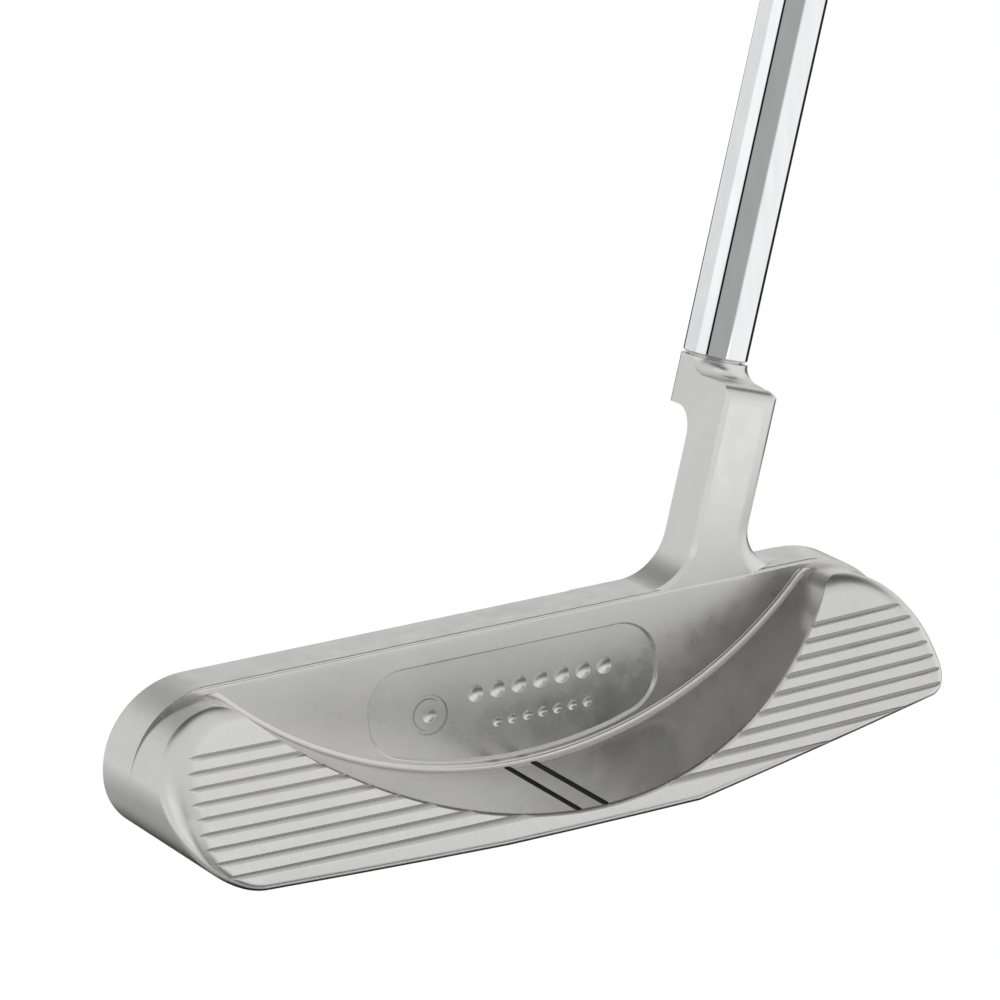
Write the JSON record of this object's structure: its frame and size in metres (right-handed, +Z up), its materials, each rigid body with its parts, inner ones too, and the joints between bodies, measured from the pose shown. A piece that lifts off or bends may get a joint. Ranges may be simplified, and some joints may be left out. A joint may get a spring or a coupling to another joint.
{
  "type": "blade putter",
  "caption": "Left-handed milled blade putter with an offset neck, sight lines, a grooved rear face, a chromed steel shaft and a rubber pistol grip.",
  "frame": {"origin": "middle of the flat on the head's sole", "axes": "+X from heel to toe, +Y toward the back of the head with the striking face looking along -Y, +Z up from the sole; the shaft leans toward -X"},
  "size_m": [0.3672, 0.0513, 0.8251],
  "materials": {
    "stainless_steel": "satin milled stainless steel",
    "black_paint": "black enamel paint fill",
    "epoxy": "cured epoxy",
    "chrome": "bright chrome plate on steel",
    "grip_tape": "paper-backed adhesive tape",
    "grip_rubber": "moulded matt rubber",
    "cap_rubber": "harder moulded rubber"
  },
  "bodies": {
    "root": {"head_body": "stainless_steel", "alignment_line_toe": "black_paint", "alignment_line_heel": "black_paint", "shaft_bond": "epoxy", "shaft": "chrome", "grip_tape": "grip_tape", "grip": "grip_rubber", "grip_cap": "cap_rubber"}
  },
  "joints": []
}
